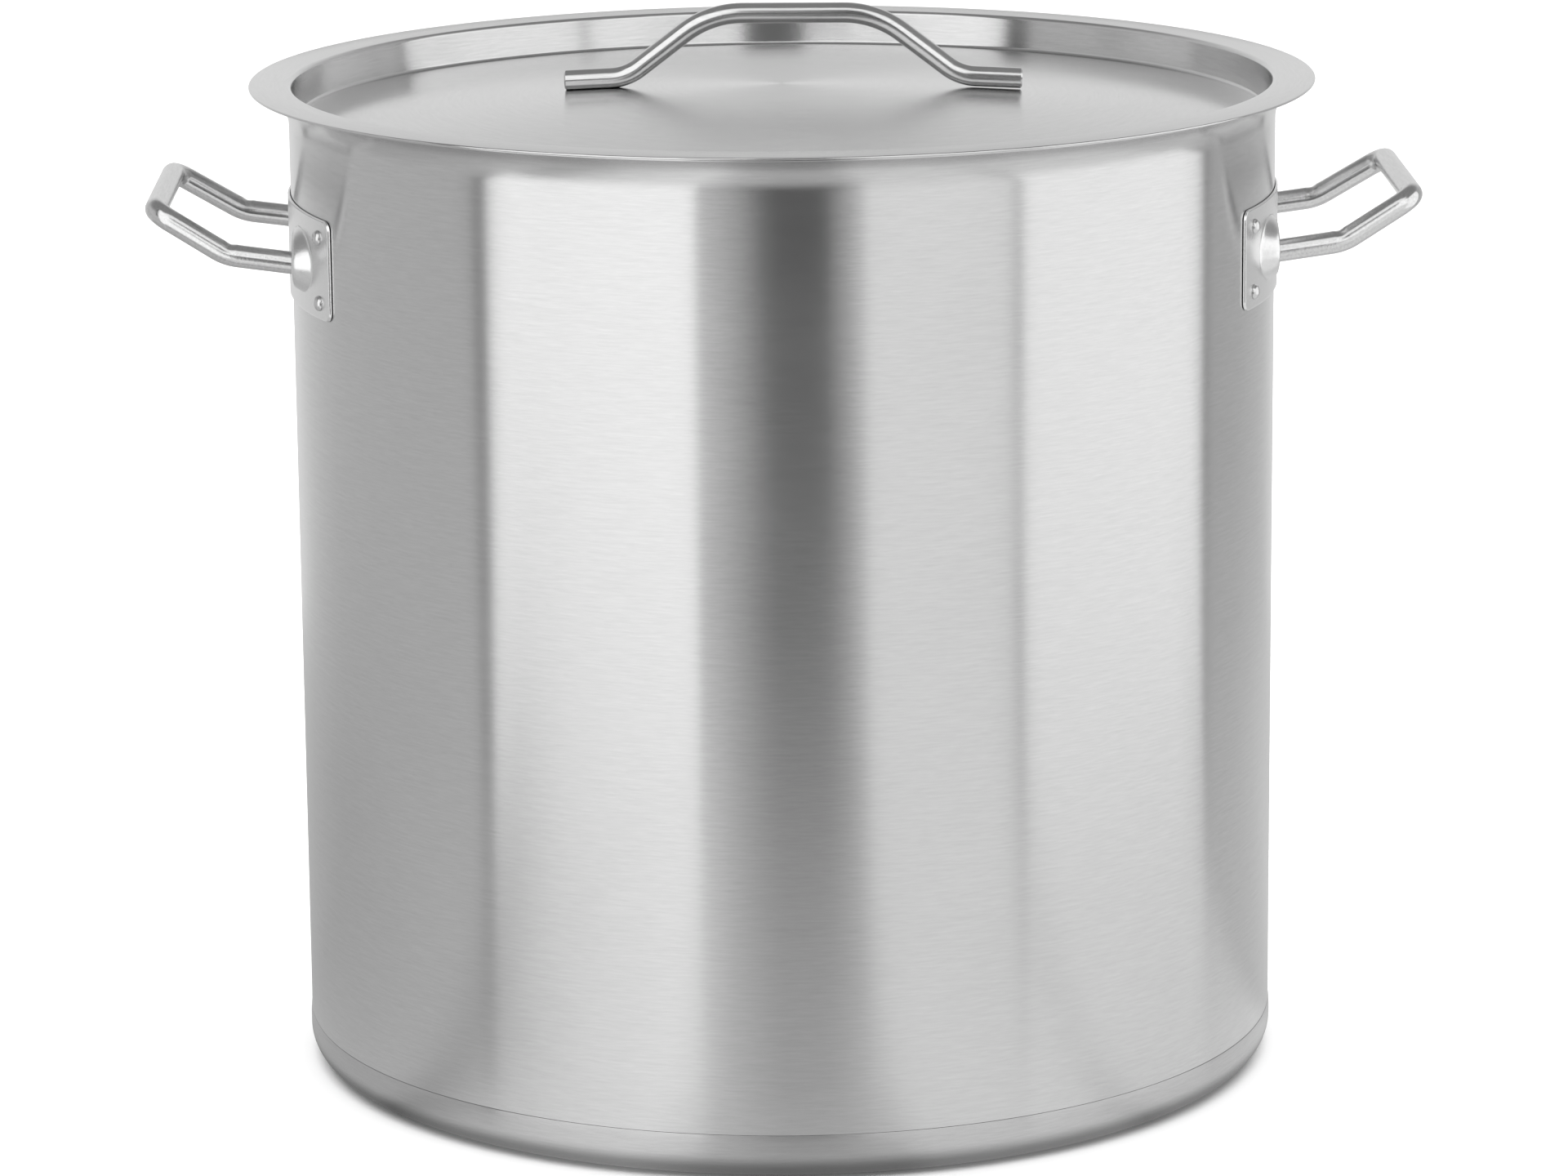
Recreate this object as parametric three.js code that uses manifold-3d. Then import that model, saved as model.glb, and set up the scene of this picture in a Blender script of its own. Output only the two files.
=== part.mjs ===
// Restaurant stock pot with a recessed lid, about 50 litres. Millimetres, +Z up.
// The pot stands on z = 0 with its axis on Z, and its two side handles point along -X and +X.
import * as THREE from "three";
import { mergeVertices } from "three/addons/utils/BufferGeometryUtils.js";
import Module from "manifold-3d";

const wasm = await Module();
wasm.setup();

// ---- Driving dimensions ----

const GAP = 0.3; // clearance between pieces that touch on the real pot
const CUT_OVERRUN = 10; // how far a cutting tool reaches past what it cuts
const ROUND_SEGMENTS = 64; // facets round the pot, the base and the lid

const POT_INNER_R = 200;
const SHEET = 1; // wall of the pot and of the lid
const POT_OUTER_R = POT_INNER_R + SHEET;

// Sandwich base: a stainless cap holds an aluminium core against the pot's floor.
const CAP_SHEET = 0.8;
const CAP_CORNER_R = 12;
const CAP_TOP_Z = 19;
const CAP_OUTER_R = POT_OUTER_R + 0.4;
const CORE_THICKNESS = 5;
const CORE_BOTTOM_Z = CAP_SHEET + GAP;
const CORE_TOP_Z = CORE_BOTTOM_Z + CORE_THICKNESS;
const CORE_BOTTOM_R = 188.8;
const CORE_TOP_R = 196.2;
const CORE_CHAMFER = 2.9; // height at which the core's edge turns, over its underside
const POT_FLOOR_Z = CORE_TOP_Z + GAP; // underside of the pot's own floor
const NECK_IN = 0.8; // the wall is drawn in by this much where the cap wraps it
const NECK_CLEARANCE = 0.2; // between the cap's top edge and the start of the neck's slope
const POT_CORNER_R = 8;

// The rim flares outwards as a bell mouth and ends in a lip.
const FLARE_R = 14; // outside of the bend
const FLARE_SWEEP = 78; // degrees
const FLARE_Z = 391; // where the bend starts
const degrees = THREE.MathUtils.degToRad;
const RIM_TOP_Z = FLARE_Z + (FLARE_R + SHEET) * Math.sin(degrees(FLARE_SWEEP));

// Lid: a flat flange on the rim, a wall that drops inside the pot, and a crowned floor.
// Its heights are taken from the flange's underside.
const LID_Z = RIM_TOP_Z + GAP;
const LID_TURN = -2.7; // degrees the loose lid happens to be turned on the pot
const FLANGE_OUTER_R = 217;
const LID_WALL_TOP_R = 199.6; // inside of the wall, carried up to the flange
const LID_WALL_FOOT_R = 198.2;
const LID_SHOULDER_R = 4;
const LID_CORNER_R = 3;
const LID_DEPTH = 13.7; // from the flange's underside down to the floor's edge
const LID_CROWN = 11.4; // height of the floor's middle over its edge
const LID_FLOOR_RINGS = [0, 60, 105, 140, 168, 186]; // radii at which the crown is drawn

// Lid handle: one bent rod with two flat feet.
const ROD_R = 4.2;
const ROD_HALF_LENGTH = 93.4;
const ROD_FOOT_BEND_X = 68;
const ROD_TOP_BEND_X = 33.9;
const ROD_RISE = 27.2; // of the top over the ends, centre to centre
const ROD_FOOT_BEND_R = 20;
const ROD_TOP_BEND_R = 39.5;
const ROD_OFFSET_X = 4.7; // it is welded on this far off the lid's axis

// Side handles: a bent tube whose ends are held in two bosses of a riveted bracket.
// Its points are on the tube's centre line, for the half at +Y.
const TUBE_R = 4.6;
const TUBE_BORE_R = 3.4;
const TUBE_END = [195.1, 55.35, 341.1];
const TUBE_KNEE = [224.3, 54.6, 345];
const TUBE_CORNER = [252.7, 51, 362.3];
const TUBE_KNEE_R = 22;
const TUBE_CORNER_R = 8;
const COLLAR_R = 5.6; // the swaged end that stops the tube pulling out of its boss
const COLLAR_FROM = 0.2;
const COLLAR_TO = 1.3;
const COLLAR_OVERLAP = 0.6; // how far the collar reaches into the tube's wall

const BRACKET_INNER_R = POT_OUTER_R + GAP;
const BRACKET_SHEET = 0.9;
const BRACKET_OUTER_R = BRACKET_INNER_R + BRACKET_SHEET;
const BRACKET_Z = 342.8; // middle of its height
const BRACKET_HEIGHT = 40.5;
const BRACKET_HALF_WIDTH = 88.2;
const BRACKET_CORNER_R = 4;
const BOSS_ANGLE = 15.8; // degrees round the pot from the handle's middle
const BOSS_Z = 342.9;
const BOSS_HALF_AXES = { out: 7.25, along: 20.5, up: 13.2 }; // of the outer ellipsoid
const BOSS_CENTRE_R = BRACKET_OUTER_R - 2;

const RIVET_ANGLE = 22.8;
const RIVET_ROWS_Z = [329, 355.4];
const RIVET_SHANK_R = 2;
const RIVET_HEAD_R = 3.1;
const RIVET_HEAD_HEIGHT = 2.2;
const RIVET_FLAT_R = 4; // the flat head inside the pot
const RIVET_FLAT_HEIGHT = 1.2;
// The head's dome, as shares of its radius and height.
const RIVET_DOME = [[1, 0], [0.93, 0.5], [0.6, 0.88], [0, 1]];

// ---- Materials ----

const steel = (color, roughness) =>
  new THREE.MeshStandardMaterial({ color, roughness, metalness: 1 });

const MATERIALS = {
  bodySteel: steel(0xc9c9c7, 0.34),
  lidSteel: steel(0xcccccb, 0.32),
  baseSteel: steel(0xc2c2c0, 0.36),
  coreAluminium: steel(0xb9bbbd, 0.45),
  bracketSteel: steel(0xd2d2d0, 0.24),
  handleSteel: steel(0xd6d6d5, 0.18),
  rivetSteel: steel(0xcecdcb, 0.28),
};

// ---- Helpers ----

// Points on an arc of a profile, from one angle to another, both in degrees.
function arc(centreR, centreZ, radius, from, to, steps) {
  const points = [];
  for (let i = 0; i <= steps; i++) {
    const angle = degrees(from + ((to - from) * i) / steps);
    points.push([centreR + radius * Math.cos(angle), centreZ + radius * Math.sin(angle)]);
  }
  return points;
}

// The corner at b of the line a-b-c as an arc of the given radius, in three dimensions.
function roundedCorner(a, b, c, radius, steps) {
  const corner = new THREE.Vector3(...b);
  const back = new THREE.Vector3(...a).sub(corner).normalize();
  const ahead = new THREE.Vector3(...c).sub(corner).normalize();
  const half = back.angleTo(ahead) / 2;
  const inward = back.clone().add(ahead).normalize();
  const centre = corner.clone().addScaledVector(inward, radius / Math.sin(half));
  const spoke = corner.clone().addScaledVector(back, radius / Math.tan(half)).sub(centre);
  const axis = new THREE.Vector3().crossVectors(ahead, back).normalize();
  const sweep = Math.PI - 2 * half;
  const points = [];
  for (let i = 0; i <= steps; i++) {
    const turned = spoke.clone().applyAxisAngle(axis, (sweep * i) / steps);
    points.push(turned.add(centre).toArray());
  }
  return points;
}

// The same corner for a profile's [radius, z] points.
function roundedProfileCorner(a, b, c, radius, steps) {
  const flat = ([r, z]) => [r, z, 0];
  return roundedCorner(flat(a), flat(b), flat(c), radius, steps).map(([r, z]) => [r, z]);
}

// A manifold solid from a three.js geometry that is one closed surface.
function solidFrom(geometry) {
  const source = geometry.index ? geometry.toNonIndexed() : geometry;
  const bare = new THREE.BufferGeometry();
  bare.setAttribute("position", source.getAttribute("position").clone());
  const merged = mergeVertices(bare, 1e-4);
  const corners = merged.index.array;
  const triangles = [];
  for (let i = 0; i < corners.length; i += 3) {
    const [a, b, c] = corners.slice(i, i + 3);
    if (a !== b && b !== c && c !== a) triangles.push(a, b, c);
  }
  return new wasm.Manifold(
    new wasm.Mesh({
      numProp: 3,
      vertProperties: merged.getAttribute("position").array,
      triVerts: new Uint32Array(triangles),
    }),
  );
}

// A named three.js mesh from a manifold solid.
function meshFrom(name, solid, material) {
  const { vertProperties, triVerts } = solid.getMesh();
  const geometry = new THREE.BufferGeometry();
  geometry.setAttribute("position", new THREE.BufferAttribute(vertProperties, 3));
  geometry.setIndex(new THREE.BufferAttribute(triVerts, 1));
  geometry.computeVertexNormals();
  const mesh = new THREE.Mesh(geometry, material.clone());
  mesh.name = name;
  return mesh;
}

// A solid of revolution about Z. The profile's [radius, z] points run anticlockwise.
function revolved(profile, segments) {
  const closed = [...profile, profile[0]].map(([r, z]) => new THREE.Vector2(r, z));
  return solidFrom(new THREE.LatheGeometry(closed, segments).rotateX(Math.PI / 2));
}

// A solid of revolution with straight walls, between two radii and two heights.
function ring(innerR, outerR, lowZ, highZ, segments) {
  return revolved([[innerR, lowZ], [outerR, lowZ], [outerR, highZ], [innerR, highZ]], segments);
}

// A curve through stations, straight from each to the next.
class StationCurve extends THREE.Curve {
  constructor(stations) {
    super();
    this.stations = stations.map((point) => new THREE.Vector3(...point));
    this.last = stations.length - 1;
  }
  getPoint(t, target = new THREE.Vector3()) {
    const place = t * this.last;
    const index = Math.min(Math.round(place), this.last);
    return target.copy(this.stations[index]);
  }
  getPointAt(t, target) {
    return this.getPoint(t, target);
  }
  getTangent(t, target = new THREE.Vector3()) {
    const index = Math.round(t * this.last);
    const here = this.stations[index];
    const before = this.stations[Math.max(index - 1, 0)];
    const after = this.stations[Math.min(index + 1, this.last)];
    const incoming = here.clone().sub(before).normalize();
    const outgoing = after.clone().sub(here).normalize();
    return target.copy(incoming).add(outgoing).normalize();
  }
  getTangentAt(t, target) {
    return this.getTangent(t, target);
  }
}

// A round bar along stations; a bore makes it a tube.
function bar(stations, radius, quarterFacets, boreRadius = 0) {
  const section = new THREE.Shape();
  section.absarc(0, 0, radius, 0, Math.PI * 2);
  if (boreRadius > 0) {
    const bore = new THREE.Path();
    bore.absarc(0, 0, boreRadius, 0, Math.PI * 2, true);
    section.holes.push(bore);
  }
  const geometry = new THREE.ExtrudeGeometry(section, {
    steps: stations.length - 1,
    curveSegments: quarterFacets,
    extrudePath: new StationCurve(stations),
  });
  return solidFrom(geometry);
}

// The turn and move that stand something made about Z on a direction from an origin.
function alongDirection(origin, direction) {
  const up = new THREE.Vector3(0, 0, 1);
  const turn = new THREE.Quaternion().setFromUnitVectors(up, direction);
  return new THREE.Matrix4().compose(origin, turn, new THREE.Vector3(1, 1, 1));
}

// The same for something that points straight out of the pot's axis at a height.
function outwards(angle, z) {
  const direction = new THREE.Vector3(Math.cos(degrees(angle)), Math.sin(degrees(angle)), 0);
  return alongDirection(new THREE.Vector3(0, 0, z), direction);
}

// ---- Pot and base ----

// Where the rivets of a handle at +X go through the bracket and the wall.
function rivetPlaces() {
  return RIVET_ROWS_Z.flatMap((z) => [-1, 1].map((sign) => outwards(sign * RIVET_ANGLE, z)));
}

function rivetHoles() {
  const cutter = ring(0, RIVET_SHANK_R + GAP, POT_INNER_R - CUT_OVERRUN, BRACKET_OUTER_R + CUT_OVERRUN, 12);
  return wasm.Manifold.union(rivetPlaces().map((place) => cutter.transform(place.elements)));
}

function potBody() {
  const neckR = POT_OUTER_R - NECK_IN;
  const neckZ = CAP_TOP_Z + NECK_CLEARANCE;
  const insideNeckZ = neckZ + 0.4 * SHEET;
  const cornerR = neckR - POT_CORNER_R;
  const cornerZ = POT_FLOOR_Z + POT_CORNER_R;
  const flareR = POT_OUTER_R + FLARE_R;
  const lip = 180 - FLARE_SWEEP;
  const profile = [
    [0, POT_FLOOR_Z],
    ...arc(cornerR, cornerZ, POT_CORNER_R, -90, 0, 4),
    [neckR, neckZ],
    [POT_OUTER_R, neckZ + NECK_IN],
    ...arc(flareR, FLARE_Z, FLARE_R, 180, lip, 6),
    ...arc(flareR, FLARE_Z, FLARE_R + SHEET, lip, 180, 6),
    [POT_INNER_R, insideNeckZ + NECK_IN],
    [neckR - SHEET, insideNeckZ],
    ...arc(cornerR, cornerZ, POT_CORNER_R - SHEET, 0, -90, 4),
    [0, POT_FLOOR_Z + SHEET],
  ];
  const holes = rivetHoles();
  const body = revolved(profile, ROUND_SEGMENTS)
    .subtract(holes)
    .subtract(holes.rotate([0, 0, 180]));
  return meshFrom("pot_body", body, MATERIALS.bodySteel);
}

function baseCap() {
  const cornerR = CAP_OUTER_R - CAP_CORNER_R;
  const profile = [
    [0, 0],
    ...arc(cornerR, CAP_CORNER_R, CAP_CORNER_R, -90, 0, 5),
    [CAP_OUTER_R, CAP_TOP_Z],
    [CAP_OUTER_R - CAP_SHEET, CAP_TOP_Z],
    ...arc(cornerR, CAP_CORNER_R, CAP_CORNER_R - CAP_SHEET, 0, -90, 5),
    [0, CAP_SHEET],
  ];
  return meshFrom("base_cap", revolved(profile, ROUND_SEGMENTS), MATERIALS.baseSteel);
}

function baseCore() {
  const profile = [
    [0, 0],
    [CORE_BOTTOM_R, 0],
    [(CORE_BOTTOM_R + 3 * CORE_TOP_R) / 4, CORE_CHAMFER],
    [CORE_TOP_R, CORE_THICKNESS],
    [0, CORE_THICKNESS],
  ];
  const core = meshFrom("base_core", revolved(profile, ROUND_SEGMENTS), MATERIALS.coreAluminium);
  core.position.z = CORE_BOTTOM_Z;
  return core;
}

// ---- Side handles, made for the one at +X ----

// The centre line of the tube, from one boss round to the other.
function tubeStations() {
  const half = (sign) => {
    const [end, knee, corner] = [TUBE_END, TUBE_KNEE, TUBE_CORNER].map(([x, y, z]) => [x, sign * y, z]);
    const otherCorner = [corner[0], -corner[1], corner[2]];
    return [
      end,
      ...roundedCorner(end, knee, corner, TUBE_KNEE_R, 4),
      ...roundedCorner(knee, corner, otherCorner, TUBE_CORNER_R, 6),
    ];
  };
  return [...half(-1), ...half(1).reverse()];
}

// The placement of something made about Z on the arm that leaves a boss, from the tube's end.
function alongArm(sign) {
  const [from, to] = [TUBE_END, TUBE_KNEE].map(([x, y, z]) => new THREE.Vector3(x, sign * y, z));
  return alongDirection(from, to.sub(from).normalize());
}

function handleTube(side) {
  const collar = ring(TUBE_R - COLLAR_OVERLAP, COLLAR_R, COLLAR_FROM, COLLAR_TO, 16);
  let tube = bar(tubeStations(), TUBE_R, 6, TUBE_BORE_R);
  for (const sign of [-1, 1]) {
    tube = tube.add(collar.transform(alongArm(sign).elements));
  }
  return meshFrom(`${side}_handle_tube`, tube, MATERIALS.handleSteel);
}

// An upright block with rounded corners that cuts the bracket's outline out of a ring.
function bracketOutline() {
  const w = BRACKET_HALF_WIDTH;
  const h = BRACKET_HEIGHT / 2;
  const r = BRACKET_CORNER_R;
  const outline = new THREE.Shape();
  outline.moveTo(-w + r, -h);
  outline.absarc(w - r, -h + r, r, -Math.PI / 2, 0);
  outline.absarc(w - r, h - r, r, 0, Math.PI / 2);
  outline.absarc(-w + r, h - r, r, Math.PI / 2, Math.PI);
  outline.absarc(-w + r, -h + r, r, Math.PI, 1.5 * Math.PI);
  const block = new THREE.ExtrudeGeometry(outline, {
    depth: POT_INNER_R,
    bevelEnabled: false,
    curveSegments: 4,
  });
  // The outline's x and y become Y and Z, and it reaches out along X.
  const upright = new THREE.Matrix4().makeBasis(
    new THREE.Vector3(0, 1, 0),
    new THREE.Vector3(0, 0, 1),
    new THREE.Vector3(1, 0, 0),
  );
  block.applyMatrix4(upright.setPosition(POT_INNER_R / 2, 0, BRACKET_Z));
  return solidFrom(block);
}

// One boss as an ellipsoid, smaller all round by an inset.
function boss(sign, inset) {
  const { out, along, up } = BOSS_HALF_AXES;
  const ball = new THREE.SphereGeometry(1, 20, 12)
    .scale(out - inset, along - inset, up - inset)
    .translate(BOSS_CENTRE_R, 0, BOSS_Z)
    .rotateZ(degrees(sign * BOSS_ANGLE));
  return solidFrom(ball);
}

function handleBracket(side) {
  const lowZ = BRACKET_Z - BRACKET_HEIGHT / 2;
  const highZ = BRACKET_Z + BRACKET_HEIGHT / 2;
  const potSide = ring(0, BRACKET_INNER_R, lowZ - CUT_OVERRUN, highZ + CUT_OVERRUN, ROUND_SEGMENTS);
  const armHole = ring(0, TUBE_R + GAP, 0, 2 * CUT_OVERRUN, 20);
  let bracket = ring(BRACKET_INNER_R, BRACKET_OUTER_R, lowZ, highZ, ROUND_SEGMENTS)
    .intersect(bracketOutline());
  for (const sign of [-1, 1]) {
    bracket = bracket
      .add(boss(sign, 0).subtract(potSide))
      .subtract(boss(sign, BRACKET_SHEET))
      .subtract(armHole.transform(alongArm(sign).elements));
  }
  return meshFrom(`${side}_handle_bracket`, bracket.subtract(rivetHoles()), MATERIALS.bracketSteel);
}

// A rivet about Z, with Z as the distance from the pot's axis.
function rivetSolid() {
  const wallFace = POT_INNER_R * Math.cos(Math.PI / ROUND_SEGMENTS); // at the middle of a facet
  const flatTop = wallFace - GAP;
  const headFoot = BRACKET_OUTER_R + GAP;
  return revolved(
    [
      [0, flatTop - RIVET_FLAT_HEIGHT],
      [RIVET_FLAT_R, flatTop - RIVET_FLAT_HEIGHT],
      [RIVET_FLAT_R, flatTop],
      [RIVET_SHANK_R, flatTop],
      [RIVET_SHANK_R, headFoot],
      ...RIVET_DOME.map(([r, h]) => [RIVET_HEAD_R * r, headFoot + RIVET_HEAD_HEIGHT * h]),
    ],
    12,
  );
}

function handleRivets(side) {
  return rivetPlaces().map((place, i) => {
    const rivet = meshFrom(`${side}_rivet_${i + 1}`, rivetSolid(), MATERIALS.rivetSteel);
    rivet.applyMatrix4(place);
    return rivet;
  });
}

function sideHandle(side) {
  const handle = new THREE.Group();
  handle.add(handleBracket(side), handleTube(side), ...handleRivets(side));
  handle.rotation.z = side === "left" ? Math.PI : 0;
  return handle;
}

// ---- Lid, with heights from its flange's underside ----

// Height of the floor's upper face at a distance from the lid's axis.
function lidFloorZ(radius) {
  return LID_CROWN * (1 - (radius / LID_WALL_FOOT_R) ** 2) - LID_DEPTH;
}

function lidPan() {
  // One face of the sheet, from the floor's middle out to the flange's edge.
  const face = (drop, wallShift, cornerR, shoulderR) => {
    const rings = LID_FLOOR_RINGS.map((radius) => [radius, lidFloorZ(radius) - drop]);
    const foot = [LID_WALL_FOOT_R + wallShift, -LID_DEPTH - drop];
    const shoulder = [LID_WALL_TOP_R + wallShift, SHEET - drop];
    const edge = [FLANGE_OUTER_R, SHEET - drop];
    return [
      ...rings,
      ...roundedProfileCorner(rings.at(-1), foot, shoulder, cornerR, 4),
      ...roundedProfileCorner(foot, shoulder, edge, shoulderR, 5),
      edge,
    ];
  };
  const underside = face(SHEET, SHEET, LID_CORNER_R + SHEET, LID_SHOULDER_R - SHEET);
  const upperside = face(0, 0, LID_CORNER_R, LID_SHOULDER_R);
  const pan = revolved([...underside, ...upperside.reverse()], ROUND_SEGMENTS);
  return meshFrom("lid_pan", pan, MATERIALS.lidSteel);
}

function lidHandle() {
  const restOnFloor = (x) => lidFloorZ(x) + GAP + ROD_R;
  const endZ = restOnFloor(ROD_HALF_LENGTH);
  const half = (sign) => {
    const end = [sign * ROD_HALF_LENGTH, 0, endZ];
    const foot = [sign * ROD_FOOT_BEND_X, 0, restOnFloor(ROD_FOOT_BEND_X)];
    const top = [sign * ROD_TOP_BEND_X, 0, endZ + ROD_RISE];
    const middle = [0, 0, endZ + ROD_RISE];
    return [
      end,
      ...roundedCorner(end, foot, top, ROD_FOOT_BEND_R, 6),
      ...roundedCorner(foot, top, middle, ROD_TOP_BEND_R, 6),
    ];
  };
  const rod = bar([...half(-1), ...half(1).reverse()], ROD_R, 7);
  const handle = meshFrom("lid_handle", rod, MATERIALS.handleSteel);
  handle.position.x = ROD_OFFSET_X;
  return handle;
}

function lid() {
  const group = new THREE.Group();
  group.add(lidPan(), lidHandle());
  group.position.z = LID_Z;
  group.rotation.z = degrees(LID_TURN);
  return group;
}

// ---- Assembly ----

const stockPot = new THREE.Group();
stockPot.add(potBody(), baseCore(), baseCap(), sideHandle("left"), sideHandle("right"), lid());

export default stockPot;
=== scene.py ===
"""Looks of the stock pot: fine sheet-metal meshes, brushed steel, a studio and a camera. Metres, +Z up."""
import math

import bpy
from mathutils import Matrix, Vector


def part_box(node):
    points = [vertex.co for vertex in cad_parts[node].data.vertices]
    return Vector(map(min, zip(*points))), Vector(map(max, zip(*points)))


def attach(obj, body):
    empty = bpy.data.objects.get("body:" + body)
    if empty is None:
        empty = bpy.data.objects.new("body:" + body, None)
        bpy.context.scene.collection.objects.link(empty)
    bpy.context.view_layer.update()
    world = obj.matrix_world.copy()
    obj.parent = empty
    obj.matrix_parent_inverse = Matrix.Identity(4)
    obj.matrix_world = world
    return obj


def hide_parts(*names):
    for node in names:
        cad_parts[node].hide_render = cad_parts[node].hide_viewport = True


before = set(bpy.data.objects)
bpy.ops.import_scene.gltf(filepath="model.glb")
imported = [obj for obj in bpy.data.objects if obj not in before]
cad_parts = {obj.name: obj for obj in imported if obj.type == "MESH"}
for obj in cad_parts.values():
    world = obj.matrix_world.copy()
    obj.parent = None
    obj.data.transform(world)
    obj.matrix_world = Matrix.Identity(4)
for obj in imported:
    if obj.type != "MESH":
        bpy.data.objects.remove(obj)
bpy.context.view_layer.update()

MM = 0.001

# ---- Sizes, the same driving dimensions as the frame's ----

ROUND_SEGMENTS = 256
SHARP_ANGLE = math.radians(35)  # edges sharper than this stay crisp
RIM_TOP_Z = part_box("pot_body")[1].z
CAP_TOP_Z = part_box("base_cap")[1].z
CAP_OUTER_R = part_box("base_cap")[1].x
POT_FLOOR_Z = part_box("pot_body")[0].z
LID_Z = RIM_TOP_Z + 0.3 * MM

SHEET = 1 * MM
POT_INNER_R = 200 * MM
POT_OUTER_R = POT_INNER_R + SHEET
NECK_IN = 0.8 * MM
NECK_CLEARANCE = 0.05 * MM
NECK_INSIDE_RISE = 0.4 * MM
CREASE_ROUND = 0.12 * MM
POT_CORNER_R = 8 * MM
WALL_STEP = 20 * MM
WALL_STEPS = 18
FLARE_R = 14 * MM
FLARE_SWEEP = 78
FLARE_Z = RIM_TOP_Z - (FLARE_R + SHEET) * math.sin(math.radians(FLARE_SWEEP))

CAP_SHEET = 0.8 * MM
CAP_CORNER_R = 12 * MM
CAP_TAPER = 0.2 * MM
CAP_TAPER_START = 3 * MM  # below the cap's top, like the place where it steepens
CAP_TAPER_TURN = 1.8 * MM
CAP_TURN_SHARE = 0.3  # of the taper, done where it steepens

FLANGE_OUTER_R = 217 * MM
LID_WALL_TOP_R = 199.6 * MM
LID_WALL_FOOT_R = 198.2 * MM
LID_SHOULDER_R = 1.8 * MM
LID_CORNER_R = 1.6 * MM
LID_DEPTH = 13.7 * MM
LID_CROWN = 11.4 * MM
LID_TURN = math.radians(-2.7)
LID_RING_STEP = 6 * MM
LID_RINGS = 32

ROD_R = 4.2 * MM
ROD_HALF_LENGTH = 93.4 * MM
ROD_FOOT_BEND_X = 68 * MM
ROD_TOP_BEND_X = 33.9 * MM
ROD_RISE = 27.2 * MM
ROD_FOOT_BEND_R = 20 * MM
ROD_TOP_BEND_R = 39.5 * MM
ROD_OFFSET_X = 4.7 * MM
ROD_SEAT = 0.05 * MM
ROD_CHAMFER = 0.6 * MM
ROD_FACETS = 40

TUBE_R = 4.6 * MM
TUBE_END = Vector((0.1951, 0.05535, 0.3411))
TUBE_KNEE = Vector((0.2243, 0.0546, 0.3450))
TUBE_CORNER = Vector((0.2527, 0.0510, 0.3623))
TUBE_KNEE_R = 22 * MM
TUBE_CORNER_R = 8 * MM
TUBE_FACETS = 36
KNEE_DENT_DEPTH = 0.5 * MM
KNEE_DENT_REACH = 2.2 * MM
KNEE_RIDGE_HEIGHT = 0.1 * MM
KNEE_RIDGE_FROM_KNEE = 3.4 * MM
KNEE_RIDGE_REACH = 1.1 * MM

PLATE_INNER_R = POT_OUTER_R + 0.3 * MM
PLATE_SHEET = 0.9 * MM
PLATE_OUTER_R = PLATE_INNER_R + PLATE_SHEET
PLATE_Z = 342.8 * MM
PLATE_HEIGHT = 40.5 * MM
PLATE_HALF_WIDTH = 88.2 * MM
PLATE_CORNER_R = 4 * MM
PLATE_EDGE_ROUND = 0.25 * MM
PLATE_COLUMNS = 352
PLATE_ROWS = 88
STRAIGHT_SHARE = 0.92  # of the columns, along the plate's straight edges
BOSS_Y = 54.5 * MM
BOSS_Z = 342.9 * MM
BOSS_HALF_WIDTH = 17 * MM
BOSS_UP = 13 * MM
BOSS_FACE_X = 197.8 * MM  # its face is flat, square to the tube's arm
BOSS_FLANK = 21 * MM  # height of the cone that its sides would make, if they met
BOSS_TOP_ROUND = 0.6 * MM
BOSS_FOOT_ROUND = 0.18 * MM

RIVET_ANGLE = 22.8
RIVET_ROWS_Z = (0.329, 0.3554)
RIVET_SHANK_R = 2 * MM
RIVET_HEAD_R = 3.1 * MM
RIVET_HEAD_HEIGHT = 2.2 * MM
RIVET_FLAT_R = 4 * MM
RIVET_FLAT_HEIGHT = 1.2 * MM
RIVET_FLAT_CHAMFER = 0.4 * MM
RIVET_FLAT_GAP = 0.5 * MM  # the wall curves away from a flat head
RIVET_SEAT = 0.05 * MM
RIVET_FACETS = 32
DOME_FROM = 5  # degrees up the dome
DOME_STEPS = 8


# ---- Mesh helpers ----

def piece_from(name, vertices, faces):
    """A smooth-shaded mesh object with crisp edges."""
    mesh = bpy.data.meshes.new(name)
    mesh.from_pydata([tuple(v) for v in vertices], [], faces)
    mesh.validate()
    mesh.shade_smooth()
    mesh.set_sharp_from_angle(angle=SHARP_ANGLE)
    piece = bpy.data.objects.new(name, mesh)
    bpy.context.scene.collection.objects.link(piece)
    return piece


def arc(centre_r, centre_z, radius, start, end, steps):
    """Points on an arc of a profile, between two angles in degrees."""
    points = []
    for i in range(steps + 1):
        angle = math.radians(start + (end - start) * i / steps)
        points.append((centre_r + radius * math.cos(angle), centre_z + radius * math.sin(angle)))
    return points


def rounded_corner(a, b, c, radius, steps):
    """The corner at b of the line a-b-c as an arc of the given radius."""
    a, b, c = (Vector(p).to_3d() for p in (a, b, c))
    back = (a - b).normalized()
    ahead = (c - b).normalized()
    half = back.angle(ahead) / 2
    centre = b + (back + ahead).normalized() * radius / math.sin(half)
    spoke = b + back * radius / math.tan(half) - centre
    axis = ahead.cross(back).normalized()
    sweep = math.pi - 2 * half
    return [centre + Matrix.Rotation(sweep * i / steps, 3, axis) @ spoke for i in range(steps + 1)]


def profile_corner(a, b, c, radius, steps):
    """The same corner for a profile's (radius, z) points."""
    return [(p.x, p.y) for p in rounded_corner(a, b, c, radius, steps)]


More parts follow.
